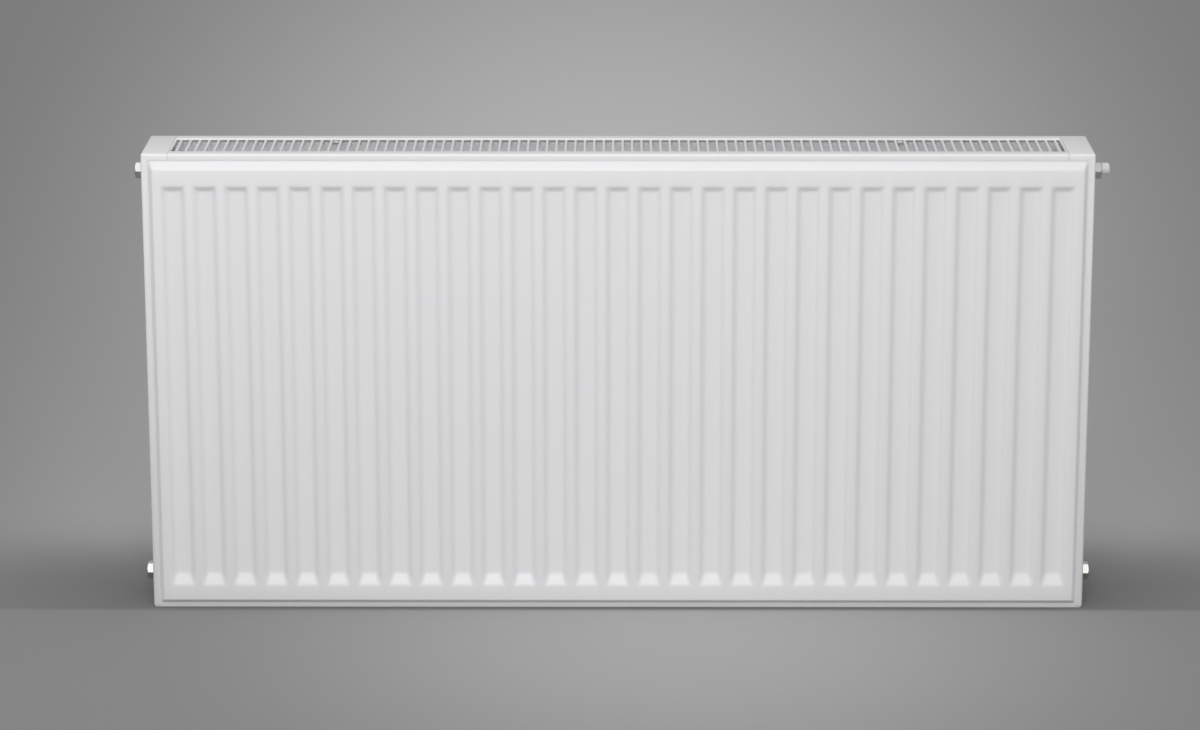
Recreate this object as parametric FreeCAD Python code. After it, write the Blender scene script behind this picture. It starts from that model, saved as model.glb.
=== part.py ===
import FreeCAD, Part
import math
import os

V = FreeCAD.Vector

# Steel panel radiator with a bleed valve, millimetres.  X runs along the radiator, the room side
# faces -Y, Z is up, and the origin lies under the middle of the radiator at floor level.

# ---- overall sizes
radiator_length = 1000.0
radiator_height = 500.0
radiator_depth = 100.0

# ---- water panels: two pressed sheets seam-welded round the rim and along every flute
panel_sheet = 1.25
panel_thickness = 13.0
usual_flute_pitch = 33.3
flute_mouth = 24.8
flute_floor = 15.6
flute_inset_low = 26.0
flute_inset_high = 34.0
flute_end_low = 13.5
flute_end_high = 6.5
bend_radius = 2.5
rim_side = 6.7
rim_low = 5.5
rim_high = 6.5
rim_slope_side = 3.6
rim_slope_low = 3.8
rim_slope_high = 8.5

# ---- covers and grille, folded from thinner sheet and seated in the panels' recessed rims
cover_sheet = 1.0
cover_edge_radius = 2.4
seat_gap = 0.3
top_fold = 7.3
cover_top_width = 28.0
cover_lip = 7.6
cover_low = 2.0
tapping_window_radius = 15.0
slat_pitch = 10.0
slat_width = 2.6
slat_depth = 5.0
slot_length = 60.0
field_depth = 1.2
field_slope = 2.0
field_end_slope = 1.4
end_slot_least = 2.0
grille_border = 2.2

# ---- convectors
fin_sheet = 0.5
convector_gap = 8.0
fin_foot = 7.6
fin_tip = 14.0
fin_inset = 46.0
bare_flutes = 1

# ---- corner tees and their threaded tappings
tapping_inset = 27.0
tee_half = 13.0
socket_radius = 13.5
tapping_radius = 9.9
thread_clearance = 0.05
tapping_depth = 18.0
socket_recess = 3.5

# ---- plugs
plug_shank_length = 12.0
plug_flange_radius = 12.0
plug_flange_height = 4.5
hex_across_flats = 17.0
hex_reach = 11.0
key_socket_across = 8.0
key_socket_depth = 7.0

# ---- bleed valve
spigot_radius = 3.5
spigot_rim_radius = 4.1
spigot_rim_length = 1.0
spigot_length = 4.0
nozzle_clearance = 0.05
nozzle_radius = 6.3
nozzle_offset = 1.4
nozzle_gap = 0.4
nozzle_length = 8.6
outlet_radius = 1.5
outlet_inset = 2.5
screw_radius = 2.2
screw_clearance = 0.05
screw_length = 13.5
screw_head_across = 5.0
screw_head_gap = 0.3
screw_head_length = 4.2
seat_bore = 1.4
seal_tip_radius = 2.0
seal_tip_length = 3.0

# ---- wall-hanging lugs on the back
lug_sheet = 2.0
lug_width = 30.0
lug_foot = 18.0
lug_stand_off = 6.0
lug_web = 28.0
lug_bend_radius = 1.0
lug_inset = 70.0
lug_from_middle = 320.0

# ---- plastic clips that hold the grille, in line with a slot between two slats
clip_sheet = 1.0
clip_width = 5.0
clip_above_slope = 0.5
clip_foot = 2.8
clip_arm = 13.0
clip_barb = 2.3
clip_from_middle = 300.0

half_length = radiator_length / 2
half_depth = radiator_depth / 2
channel_count = round(radiator_length / usual_flute_pitch)
flute_pitch = radiator_length / channel_count
flute_low = flute_inset_low
flute_high = radiator_height - flute_inset_high
first_flute = half_length - flute_pitch
half_panel = panel_thickness / 2
panel_y = half_depth - half_panel
panel_half_length = half_length - cover_sheet - seat_gap
panel_top = radiator_height - cover_sheet - seat_gap
cover_half_depth = panel_y + panel_sheet + seat_gap + cover_sheet
inner_face = panel_y - half_panel
tapping_heights = {"bottom": tapping_inset, "top": radiator_height - tapping_inset}
tee_x = first_flute
fin_reach = inner_face - convector_gap / 2
fin_low = fin_inset
fin_high = radiator_height - fin_inset
fin_waves = channel_count - 1 - 2 * bare_flutes
socket_face = half_length - socket_recess
hex_end = half_length + hex_reach
spigot_end = hex_end + spigot_length
nozzle_start = hex_end + nozzle_gap
nozzle_end = nozzle_start + nozzle_length
screw_tail = spigot_end - screw_length
screw_head_end = spigot_end + screw_head_gap + screw_head_length
grille_end = half_length - cover_top_width - seat_gap
window_end = grille_end - grille_border
slat_count = int((2 * (window_end - end_slot_least) - slat_width) // slat_pitch) + 1
lug_ridge = round((first_flute - lug_from_middle) / flute_pitch - 0.5)
lug_x = first_flute - (lug_ridge + 0.5) * flute_pitch
middle_slot = 0.0 if slat_count % 2 == 0 else 0.5
clip_x = (round(clip_from_middle / slat_pitch - middle_slot) + middle_slot) * slat_pitch


def box(x0, x1, y0, y1, z0, z1):
    return Part.makeBox(x1 - x0, y1 - y0, z1 - z0, V(x0, y0, z0))


def frustum(x0, x1, z0, z1, y_base, y_top, side, low, high):
    """A block on the plane y_base whose sides lean inwards up to the plane y_top."""
    base = [V(x0, y_base, z0), V(x1, y_base, z0), V(x1, y_base, z1), V(x0, y_base, z1)]
    x2, x3, z2, z3 = x0 + side, x1 - side, z0 + low, z1 - high
    top = [V(x2, y_top, z2), V(x3, y_top, z2), V(x3, y_top, z3), V(x2, y_top, z3)]
    sides = [[base[i], base[(i + 1) % 4], top[(i + 1) % 4], top[i]] for i in range(4)]
    faces = [Part.Face(Part.makePolygon(points + points[:1])) for points in [base, top] + sides]
    solid = Part.Solid(Part.Shell(faces))
    if solid.Volume < 0:
        solid.reverse()
    return solid


def rounded_wire(points, radii):
    """A closed wire through the points, each corner rounded by its own radius."""
    edges = []
    ends = []
    count = len(points)
    for index in range(count):
        corner = points[index]
        before = (points[index - 1] - corner).normalize()
        after = (points[(index + 1) % count] - corner).normalize()
        radius = radii[index]
        if radius <= 0:
            ends.append((corner, corner, None))
            continue
        half_angle = before.getAngle(after) / 2
        reach = radius / math.tan(half_angle)
        middle = (before + after).normalize()
        crown = corner + middle * (radius / math.sin(half_angle) - radius)
        ends.append((corner + before * reach, corner + after * reach, crown))
    for index in range(count):
        first, last, crown = ends[index]
        if crown is not None:
            edges.append(Part.Arc(first, crown, last).toShape())
        following = ends[(index + 1) % count][0]
        if (following - last).Length > 1e-6:
            edges.append(Part.makeLine(last, following))
    return Part.Wire(edges)


def folded_strip(points, normal, thickness, inside_radius, run):
    """A folded sheet: the open line of points is its middle, thickened and run along a vector."""
    left = []
    right = []
    radii_left = []
    radii_right = []
    last = len(points) - 1
    for index, point in enumerate(points):
        before = point - points[index - 1] if index > 0 else points[1] - point
        after = points[index + 1] - point if index < last else point - points[index - 1]
        side_before = normal.cross(before).normalize()
        side_after = normal.cross(after).normalize()
        mitre = side_before + side_after
        mitre = mitre * (thickness / mitre.dot(side_before) / 2)
        left.append(point + mitre)
        right.append(point - mitre)
        turn = before.cross(after).dot(normal)
        if index in (0, last) or abs(turn) < 1e-9:
            radii_left.append(0)
            radii_right.append(0)
        else:
            outside = inside_radius + thickness if inside_radius else 0
            radii_left.append(inside_radius if turn > 0 else outside)
            radii_right.append(outside if turn > 0 else inside_radius)
    wire = rounded_wire(left + right[::-1], radii_left + radii_right[::-1])
    return Part.Face(wire).extrude(run)


# ---- water panels

def flute_tool(x, bend):
    """The space of one flute: a frustum whose long mouth edges are eased by a narrow facet."""
    face = -half_panel
    floor = -panel_sheet
    side = (flute_mouth - flute_floor) / 2
    half = flute_mouth / 2
    tool = frustum(x - half, x + half, flute_low, flute_high, face, floor,
                   side, flute_end_low, flute_end_high)
    if not bend:
        return tool
    lean = math.atan2(half_panel - panel_sheet, side)
    ease_out = bend * math.tan(lean / 2)
    ease_in = ease_out * math.cos(lean)
    ease_deep = ease_out * math.sin(lean)
    slope_low = flute_end_low / (half_panel - panel_sheet)
    slope_high = flute_end_high / (half_panel - panel_sheet)
    eased = frustum(x - half - ease_out, x + half + ease_out, flute_low, flute_high,
                    face, face + ease_deep, ease_out + ease_in,
                    ease_deep * slope_low, ease_deep * slope_high)
    return tool.fuse(eased)


def pressed_sheet(bend, flutes):
    """One pressed sheet lying on the panel's middle plane y = 0 and bulging towards -Y."""
    face = -half_panel
    sheet = panel_sheet
    bulge = half_panel - sheet
    offset, offset_low, offset_high = [sheet * (math.hypot(1, slope / bulge) - slope / bulge)
                                       for slope in (rim_slope_side, rim_slope_low, rim_slope_high)]
    edge = panel_half_length
    plate = box(-edge, edge, -sheet, 0, 0, panel_top)
    x1 = edge - rim_side
    outer = frustum(-x1, x1, rim_low, panel_top - rim_high, -sheet, face,
                    rim_slope_side, rim_slope_low, rim_slope_high)
    x2 = x1 - offset
    inner = frustum(-x2, x2, rim_low + offset_low, panel_top - rim_high - offset_high,
                    0, face + sheet, rim_slope_side, rim_slope_low, rim_slope_high)
    centres = [index * flute_pitch - first_flute for index in flutes]
    hollows = [flute_tool(x, bend) for x in centres]
    walls = [frustum(x - flute_mouth / 2 - offset, x + flute_mouth / 2 + offset,
                     flute_low - offset, flute_high + offset, face + sheet, 0,
                     (flute_mouth - flute_floor) / 2, flute_end_low, flute_end_high)
             for x in centres]
    outer = outer.cut(Part.makeCompound(hollows))
    inner = inner.cut(Part.makeCompound(walls))
    return plate.fuse(outer).cut(inner).removeSplitter()


def turned_round(shape):
    """The same sheet facing the wall instead of the room."""
    return shape.rotated(V(0, 0, 0), V(0, 0, 1), 180)


def moved(shape, x, y, z):
    return shape.translated(V(x, y, z))


# ---- convectors

def convector():
    """Folded fins: feet on the water channels, tips towards the middle of the radiator."""
    tip_y = fin_reach - fin_sheet / 2
    foot_y = fin_sheet / 2
    points = []
    for wave in range(fin_waves):
        x = (wave - (fin_waves - 1) / 2) * flute_pitch
        left = x - flute_pitch / 2
        right = x + flute_pitch / 2
        points.append(V(left + (fin_foot / 2 if wave else -fin_foot / 2), foot_y, 0))
        if not wave:
            points.append(V(left + fin_foot / 2, foot_y, 0))
        points.append(V(x - fin_tip / 2, tip_y, 0))
        points.append(V(x + fin_tip / 2, tip_y, 0))
        points.append(V(right - fin_foot / 2, foot_y, 0))
    points.append(V(fin_waves / 2 * flute_pitch + fin_foot / 2, foot_y, 0))
    shape = folded_strip(points, V(0, 0, 1), fin_sheet, 0, V(0, 0, fin_high - fin_low))
    return moved(shape, 0, 0, fin_low)


# ---- corner tees

def corner_tee(side, height):
    """A square forging from panel to panel with a threaded socket towards the radiator's end."""
    x = side * tee_x
    out = V(side, 0, 0)
    shape = box(x - tee_half, x + tee_half, -inner_face, inner_face,
                height - tee_half, height + tee_half)
    socket = Part.makeCylinder(socket_radius, socket_face - tee_x, V(x, 0, height), out)
    shape = shape.fuse(socket)
    mouth = V(side * (socket_face - tapping_depth), 0, height)
    shape = shape.cut(Part.makeCylinder(tapping_radius, tapping_depth, mouth, out))
    return shape.removeSplitter()


# ---- cover and grille, both cut from one folded outline

def rounded_block(x0, x1, z0, round_end):
    """The outside of the top, with rolled long edges and, where asked, a rolled end."""
    block = box(x0, x1, -cover_half_depth, cover_half_depth, z0, radiator_height)
    edges = []
    for edge in block.Edges:
        middle = edge.CenterOfMass
        on_top = middle.z > radiator_height - 1e-6
        on_face = abs(middle.y) > cover_half_depth - 1e-6
        on_end = round_end and middle.x < x0 + 1e-6
        if (on_top and (on_face or on_end)) or (on_end and on_face):
            edges.append(edge)
    return block.makeFillet(cover_edge_radius, edges)


def side_cover():
    """The left cover: end plate, two lips and a capped top, hollowed from one rounded block."""
    left = -half_length
    inner = left + cover_top_width
    inside = cover_half_depth - cover_sheet
    solid = rounded_block(left, inner, cover_low, True)
    hollow = box(left + cover_sheet, inner + 1, -inside, inside,
                 cover_low - 1, radiator_height - cover_sheet)
    shape = solid.cut(hollow)
    skirt_low = radiator_height - top_fold
    shape = shape.cut(box(left + cover_lip, inner + 1, -half_depth, half_depth,
                          cover_low - 1, skirt_low))
    for z in tapping_heights.values():
        shape = shape.cut(Part.makeCylinder(tapping_window_radius, 5, V(left - 1, 0, z), V(1, 0, 0)))
    return shape.removeSplitter()


def sunk_field(height, spread):
    """The space of the grille's sunk field below a height, its floor spread beyond the window."""
    half = slot_length / 2 + field_slope + spread
    end = window_end + field_end_slope + spread
    shape = frustum(-end, end, -half, half, height, height - field_depth,
                    field_end_slope, field_slope, field_slope)
    return shape.rotated(V(0, 0, 0), V(1, 0, 0), 90)


def top_grille():
    """A folded frame with rolled long edges and a sunk field, slotted across between deep slats."""
    end = grille_end
    inside = cover_half_depth - cover_sheet
    under = radiator_height - cover_sheet
    lean = field_slope / field_depth
    spread = cover_sheet * (math.hypot(1, lean) - lean)
    solid = rounded_block(-end, end, radiator_height - top_fold, False)
    hollow = box(-end - 1, end + 1, -inside, inside, radiator_height - top_fold - 1, under)
    shape = solid.cut(hollow.cut(sunk_field(under, spread))).cut(sunk_field(radiator_height, 0))
    slats = []
    for index in range(slat_count):
        x = (index - (slat_count - 1) / 2) * slat_pitch
        slats.append(box(x - slat_width / 2, x + slat_width / 2, -slot_length / 2, slot_length / 2,
                         radiator_height - slat_depth, radiator_height - field_depth))
    shape = shape.cut(box(-window_end, window_end, -slot_length / 2, slot_length / 2,
                          under - field_depth - 1, radiator_height + 1))
    return shape.fuse(slats).removeSplitter()


# ---- plugs and seals

def turned_part(profile, height, side):
    """A solid of revolution about the tapping's axis from (x, radius) pairs."""
    points = [V(x, 0, radius) for x, radius in profile]
    wire = Part.makePolygon(points + points[:1])
    shape = Part.Face(wire).revolve(V(0, 0, 0), V(1, 0, 0), 360)
    if side < 0:
        shape = shape.rotated(V(0, 0, 0), V(0, 0, 1), 180)
    return moved(shape, 0, 0, height)


def hexagon_bar(across, x0, x1):
    """A hexagonal bar along X with two level flats."""
    radius = across / 2 / math.cos(math.pi / 6)
    points = [V(x0, radius * math.cos(step * math.pi / 3), radius * math.sin(step * math.pi / 3))
              for step in range(6)]
    return Part.Face(Part.makePolygon(points + points[:1])).extrude(V(x1 - x0, 0, 0))


def plug_body(outer_end):
    """The shank, flange and hexagon that every plug shares, on the X axis."""
    flange_end = socket_face + plug_flange_height
    shank = tapping_radius - thread_clearance
    profile = [(socket_face - plug_shank_length, 0), (socket_face - plug_shank_length, shank),
               (socket_face, shank), (socket_face, plug_flange_radius),
               (flange_end, plug_flange_radius), (flange_end, 0)]
    head = hexagon_bar(hex_across_flats, flange_end - 1, outer_end)
    return turned_part(profile, 0, 1).fuse(head).removeSplitter()


def blind_plug(side, height):
    shape = plug_body(hex_end).cut(hexagon_bar(key_socket_across, hex_end - key_socket_depth, hex_end + 1))
    if side < 0:
        shape = shape.rotated(V(0, 0, 0), V(0, 0, 1), 180)
    return moved(shape, 0, 0, height)


# ---- bleed valve at the top right

def bleed_body():
    """Plug body with a spigot for the nozzle and a bore that ends in a narrow seat."""
    shape = plug_body(hex_end)
    rim = spigot_end - spigot_rim_length
    spigot = [(hex_end - 1, 0), (hex_end - 1, spigot_radius), (rim, spigot_radius),
              (rim, spigot_rim_radius), (spigot_end, spigot_rim_radius), (spigot_end, 0)]
    shape = shape.fuse(turned_part(spigot, 0, 1))
    bore = screw_radius + screw_clearance
    seat = screw_tail - seal_tip_length
    tool = [(socket_face - plug_shank_length - 1, 0), (socket_face - plug_shank_length - 1, seat_bore),
            (seat, seat_bore), (seat, bore), (spigot_end + 1, bore), (spigot_end + 1, 0)]
    return moved(shape.cut(turned_part(tool, 0, 1)), 0, 0, tapping_heights["top"])


def bleed_screw():
    """Round stem with a square end for the radiator key."""
    head_start = spigot_end + screw_head_gap
    stem = Part.makeCylinder(screw_radius, head_start - screw_tail, V(screw_tail, 0, 0), V(1, 0, 0))
    half = screw_head_across / 2
    head = box(head_start, screw_head_end, -half, half, -half, half)
    return moved(stem.fuse(head).removeSplitter(), 0, 0, tapping_heights["top"])


def bleed_seal_tip():
    """Soft tip that the screw presses on the seat."""
    seat = screw_tail - seal_tip_length
    return moved(Part.makeCylinder(seal_tip_radius, seal_tip_length, V(seat, 0, 0), V(1, 0, 0)),
                 0, 0, tapping_heights["top"])


def bleed_nozzle():
    """White outlet sleeve that turns on the spigot, its outside set off the axis."""
    body = Part.makeCylinder(nozzle_radius, nozzle_end - nozzle_start,
                             V(nozzle_start, 0, nozzle_offset), V(1, 0, 0))
    step = spigot_end - spigot_rim_length - 0.3
    narrow = spigot_radius + nozzle_clearance
    wide = spigot_rim_radius + nozzle_clearance
    bore = turned_part([(nozzle_start - 1, 0), (nozzle_start - 1, narrow), (step, narrow),
                        (step, wide), (nozzle_end + 1, wide), (nozzle_end + 1, 0)], 0, 1)
    outlet = Part.makeCylinder(outlet_radius, 2 * nozzle_radius, V(nozzle_end - outlet_inset, 0, 0),
                               V(0, 0, -1))
    return moved(body.cut(bore).cut(outlet), 0, 0, tapping_heights["top"])


# ---- lugs and clips

def hanging_lug(x, foot_z, way):
    """A strip welded to the back by its foot, stepped out and ending in a free web."""
    face = half_depth + lug_sheet / 2
    out = half_depth + lug_stand_off + lug_sheet / 2
    step = lug_stand_off
    points = [V(0, face, 0), V(0, face, way * lug_foot), V(0, out, way * (lug_foot + step)),
              V(0, out, way * (lug_foot + step + lug_web))]
    strip = folded_strip(points, V(1, 0, 0), lug_sheet, lug_bend_radius, V(lug_width, 0, 0))
    return moved(strip, x - lug_width / 2, 0, foot_z)


def hanging_lugs(foot_z, way):
    return Part.makeCompound([hanging_lug(x, foot_z, way) for x in (-lug_x, lug_x)])


def grille_clips():
    """Two clips on the front panel's top rim, each with a barb between two slats."""
    clips = []
    y = -(panel_y - panel_sheet - clip_sheet / 2)
    low = panel_top - rim_high + clip_above_slope
    middle = low + clip_foot
    points = [V(0, y, low), V(0, y, middle), V(0, y + clip_arm, middle),
              V(0, y + clip_arm, middle + clip_barb)]
    for x in (-clip_x, clip_x):
        strip = folded_strip(points, V(1, 0, 0), clip_sheet, 0, V(clip_width, 0, 0))
        clips.append(moved(strip, x - clip_width / 2, 0, 0))
    return Part.makeCompound(clips)


def build():
    every = range(channel_count - 1)
    inner = range(1, channel_count - 2)
    room_sheet = pressed_sheet(bend_radius, every)
    wall_sheet = turned_round(pressed_sheet(0, every))
    inner_sheet = pressed_sheet(0, inner)
    fins = convector()
    clips = grille_clips()
    cover = side_cover()
    top = tapping_heights["top"]
    bottom = tapping_heights["bottom"]
    return {
        "front_panel_room_sheet": moved(room_sheet, 0, -panel_y, 0),
        "front_panel_inner_sheet": moved(turned_round(inner_sheet), 0, -panel_y, 0),
        "rear_panel_inner_sheet": moved(inner_sheet, 0, panel_y, 0),
        "rear_panel_wall_sheet": moved(wall_sheet, 0, panel_y, 0),
        "front_convector": moved(fins, 0, -inner_face, 0),
        "rear_convector": moved(turned_round(fins), 0, inner_face, 0),
        "upper_tees": Part.makeCompound([corner_tee(side, top) for side in (-1, 1)]),
        "lower_tees": Part.makeCompound([corner_tee(side, bottom) for side in (-1, 1)]),
        "top_grille": top_grille(),
        "left_side_cover": cover,
        "right_side_cover": turned_round(cover),
        "blind_plugs": Part.makeCompound([blind_plug(-1, top), blind_plug(-1, bottom),
                                          blind_plug(1, bottom)]),
        "bleed_valve_body": bleed_body(),
        "bleed_screw": bleed_screw(),
        "bleed_seal_tip": bleed_seal_tip(),
        "bleed_nozzle": bleed_nozzle(),
        "upper_hanging_lugs": hanging_lugs(radiator_height - lug_inset, -1),
        "lower_hanging_lugs": hanging_lugs(lug_inset, 1),
        "front_grille_clips": clips,
        "rear_grille_clips": turned_round(clips),
    }


os.makedirs("parts", exist_ok=True)
for node, shape in build().items():
    shape.exportStep("parts/" + node + ".step")
    print(node, len(shape.Solids), "solid", "valid" if shape.isValid() else "NOT VALID")
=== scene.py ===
import math

import bmesh
import bpy
from mathutils import Matrix, Vector


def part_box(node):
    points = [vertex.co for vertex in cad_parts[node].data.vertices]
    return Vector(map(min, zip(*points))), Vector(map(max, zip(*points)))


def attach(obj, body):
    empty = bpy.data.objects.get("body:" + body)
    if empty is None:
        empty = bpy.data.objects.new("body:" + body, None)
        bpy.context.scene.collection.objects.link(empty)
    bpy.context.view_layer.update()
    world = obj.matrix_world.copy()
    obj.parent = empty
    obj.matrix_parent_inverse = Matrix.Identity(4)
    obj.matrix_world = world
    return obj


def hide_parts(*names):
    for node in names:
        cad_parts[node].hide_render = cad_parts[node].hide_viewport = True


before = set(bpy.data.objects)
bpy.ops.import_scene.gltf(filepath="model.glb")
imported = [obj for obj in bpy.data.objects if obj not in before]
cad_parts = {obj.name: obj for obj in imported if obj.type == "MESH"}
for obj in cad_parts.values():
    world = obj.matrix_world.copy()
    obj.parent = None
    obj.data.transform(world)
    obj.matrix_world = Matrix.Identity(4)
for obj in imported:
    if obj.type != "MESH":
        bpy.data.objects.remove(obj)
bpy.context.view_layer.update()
scene = bpy.context.scene
scene.view_settings.view_transform = "Standard"
mm = 0.001
hair = 1e-6  # metres: points nearer than this are one point
roundShare = 0.3  # how far the middle of a two-step rounding stands in from its corner

# the four threaded sockets: heights above the floor, and the faces that plugs seat on
tapping = {"upMm": 473.0, "downMm": 27.0, "faceMm": 496.5}


# helpers for colours, nodes and meshes

def linearColour(code):
    # an sRGB hex value as linear red, green, blue and alpha
    parts = [int(code[i:i + 2], 16) / 255 for i in (1, 3, 5)]
    linear = [c / 12.92 if c <= 0.04045 else ((c + 0.055) / 1.055) ** 2.4 for c in parts]
    return (*linear, 1.0)


def addNode(tree, kind, settings=None, links=None):
    # settings are properties or socket values, links are (socket, from node, from socket)
    node = tree.nodes.new(kind)
    for name, value in (settings or {}).items():
        if isinstance(name, str) and hasattr(node, name):
            setattr(node, name, value)
        else:
            node.inputs[name].default_value = value
    for socket, source, output in links or []:
        tree.links.new(source.outputs[output], node.inputs[socket])
    return node


def newMaterial(name):
    material = bpy.data.materials.new(name)
    material.use_nodes = True
    tree = material.node_tree
    tree.nodes.clear()
    output = addNode(tree, "ShaderNodeOutputMaterial")
    place = addNode(tree, "ShaderNodeTexCoord")
    return material, tree, output, place


def makeObject(name, verts, faces):
    mesh = bpy.data.meshes.new(name)
    mesh.from_pydata([tuple(v) for v in verts], [], faces)
    mesh.polygons.foreach_set("use_smooth", [True] * len(mesh.polygons))
    piece = bpy.data.objects.new(name, mesh)
    scene.collection.objects.link(piece)
    return piece


def makeBox(name, xs, ys, zs):
    corners = [(x, y, z) for x in xs for y in ys for z in zs]
    return makeObject(name, corners, [(0, 1, 3, 2), (4, 6, 7, 5), (0, 4, 5, 1), (2, 3, 7, 6),
                                      (0, 2, 6, 4), (1, 5, 7, 3)])


def gridMesh(columns, rows, point):
    # a sheet of quads over two lists of stations, each corner placed by point(u, v)
    verts = [point(u, v) for v in rows for u in columns]
    wide = len(columns)
    faces = [(j * wide + i, j * wide + i + 1, (j + 1) * wide + i + 1, (j + 1) * wide + i)
             for j in range(len(rows) - 1) for i in range(wide - 1)]
    return verts, faces


def addPart(verts, faces, moreVerts, moreFaces):
    base = len(verts)
    verts += moreVerts
    faces += [tuple(base + k for k in face) for face in moreFaces]


def takeMesh(verts, faces, piece):
    # a helper piece's mesh goes into the lists, and the piece goes
    addPart(verts, faces, [v.co.copy() for v in piece.data.vertices],
            [tuple(face.vertices) for face in piece.data.polygons])
    bpy.data.objects.remove(piece)


def plainMesh(piece):
    # what the modifiers make becomes the piece's own mesh
    bpy.context.view_layer.update()
    graph = bpy.context.evaluated_depsgraph_get()
    mesh = bpy.data.meshes.new_from_object(piece.evaluated_get(graph))
    piece.modifiers.clear()
    old = piece.data
    piece.data = mesh
    mesh.name = piece.name
    bpy.data.meshes.remove(old)


def solidify(piece, thickness, offset=-1):
    wall = piece.modifiers.new("wall", "SOLIDIFY")
    wall.thickness = thickness
    wall.offset = offset
    wall.use_even_offset = True


def roundEdges(piece, width, degrees, segments=2):
    edges = piece.modifiers.new("edges", "BEVEL")
    edges.width = width
    edges.segments = segments
    edges.limit_method = "ANGLE"
    edges.angle_limit = math.radians(degrees)
    plainMesh(piece)


def cutWith(piece, cutters, operation="DIFFERENCE"):
    for cutter in cutters:
        cut = piece.modifiers.new("cut", "BOOLEAN")
        cut.operation = operation
        cut.object = cutter
    plainMesh(piece)
    for cutter in cutters:
        bpy.data.objects.remove(cutter)


def smoothByAngle(piece, degrees):
    # soft shading over the bends, with the cut edges kept crisp
    mesh = piece.data
    mesh.polygons.foreach_set("use_smooth", [True] * len(mesh.polygons))
    work = bmesh.new()
    work.from_mesh(mesh)
    for edge in work.edges:
        if len(edge.link_faces) == 2:
            edge.smooth = edge.calc_face_angle(0) < math.radians(degrees)
    work.to_mesh(mesh)
    work.free()


def finishPiece(piece, body, slot, *nodes):
    # the piece gets its finish, the body that it moves with and the solids that it stands in for
    piece.data.materials.clear()
    piece.data.materials.append(slotMaterials[slot])
    for face in piece.data.polygons:
        face.material_index = 0
    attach(piece, body)
    if nodes:
        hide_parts(*nodes)


def circle(radius, lift=0.0):
    return lambda turn: (radius * math.cos(turn), radius * math.sin(turn) + lift)


def flats(sides, across, turned, limit=math.inf):
    # a regular polygon by its width across flats, its corners turned down to a limit
    def ring(turn):
        step = 2 * math.pi / sides
        local = (turn - turned + step / 2) % step - step / 2
        radius = min(limit, across / 2 / math.cos(local))
        return radius * math.cos(turn), radius * math.sin(turn)
    return ring


def hexagon(across, limit=math.inf):
    return flats(6, across, math.pi / 6, limit)  # a flat on top


def hexagonCorner(across):
    return across / 2 / math.cos(math.pi / 6)


def turnedMesh(stations, sides, side=1, height=0.0, closed=False):
    # rings of points round the X axis from (x, ring) pairs in mm: flat ends, or closed on itself
    verts = [(x, *ring(2 * math.pi * k / sides)) for x, ring in stations for k in range(sides)]
    verts = [(side * x * mm, side * y * mm, (z + height) * mm) for x, y, z in verts]
    rings = len(stations)
    faces = []
    for j in range(rings if closed else rings - 1):
        low, high = j * sides, (j + 1) % rings * sides
        faces += [(low + k, low + (k + 1) % sides, high + (k + 1) % sides, high + k) for k in range(sides)]
    if not closed:
        faces += [tuple(range(sides))[::-1], tuple(range(len(verts) - sides, len(verts)))]
    return verts, faces


def repeatTree(name):
    # copies the faces marked "repeats" along X and joins them to the rest
    tree = bpy.data.node_groups.new(name, "GeometryNodeTree")
    sockets = tree.interface
    sockets.new_socket("Geometry", in_out="INPUT", socket_type="NodeSocketGeometry")
    for label, kind in (("Copies", "NodeSocketInt"), ("Spacing", "NodeSocketFloat"),
                        ("Finish", "NodeSocketMaterial")):
        sockets.new_socket(label, in_out="INPUT", socket_type=kind)
    sockets.new_socket("Geometry", in_out="OUTPUT", socket_type="NodeSocketGeometry")
    given = addNode(tree, "NodeGroupInput")
    mark = addNode(tree, "GeometryNodeInputNamedAttribute", {"data_type": "FLOAT", "Name": "repeats"})
    parted = addNode(tree, "GeometryNodeSeparateGeometry", {"domain": "FACE"},
                     [("Geometry", given, "Geometry"), ("Selection", mark, "Attribute")])
    # the row is centred: it starts half of (copies - 1) spacings to the left
    lessOne = addNode(tree, "ShaderNodeMath", {"operation": "SUBTRACT", 1: 1.0}, [(0, given, "Copies")])
    half = addNode(tree, "ShaderNodeMath", {"operation": "MULTIPLY", 1: -0.5}, [(0, lessOne, "Value")])
    start = addNode(tree, "ShaderNodeMath", {"operation": "MULTIPLY"},
                    [(0, half, "Value"), (1, given, "Spacing")])
    startPlace = addNode(tree, "ShaderNodeCombineXYZ", {}, [("X", start, "Value")])
    stepPlace = addNode(tree, "ShaderNodeCombineXYZ", {}, [("X", given, "Spacing")])
    line = addNode(tree, "GeometryNodeMeshLine", {"mode": "OFFSET"},
                   [("Count", given, "Copies"), ("Start Location", startPlace, "Vector"),
                    ("Offset", stepPlace, "Vector")])
    placed = addNode(tree, "GeometryNodeInstanceOnPoints", {},
                     [("Points", line, "Mesh"), ("Instance", parted, "Selection")])
    joined = addNode(tree, "GeometryNodeJoinGeometry", {},
                     [("Geometry", placed, "Instances"), ("Geometry", parted, "Inverted")])
    real = addNode(tree, "GeometryNodeRealizeInstances", {}, [("Geometry", joined, "Geometry")])
    painted = addNode(tree, "GeometryNodeSetMaterial", {},
                      [("Geometry", real, "Geometry"), ("Material", given, "Finish")])
    addNode(tree, "NodeGroupOutput", {}, [("Geometry", painted, "Geometry")])
    return tree


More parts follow.
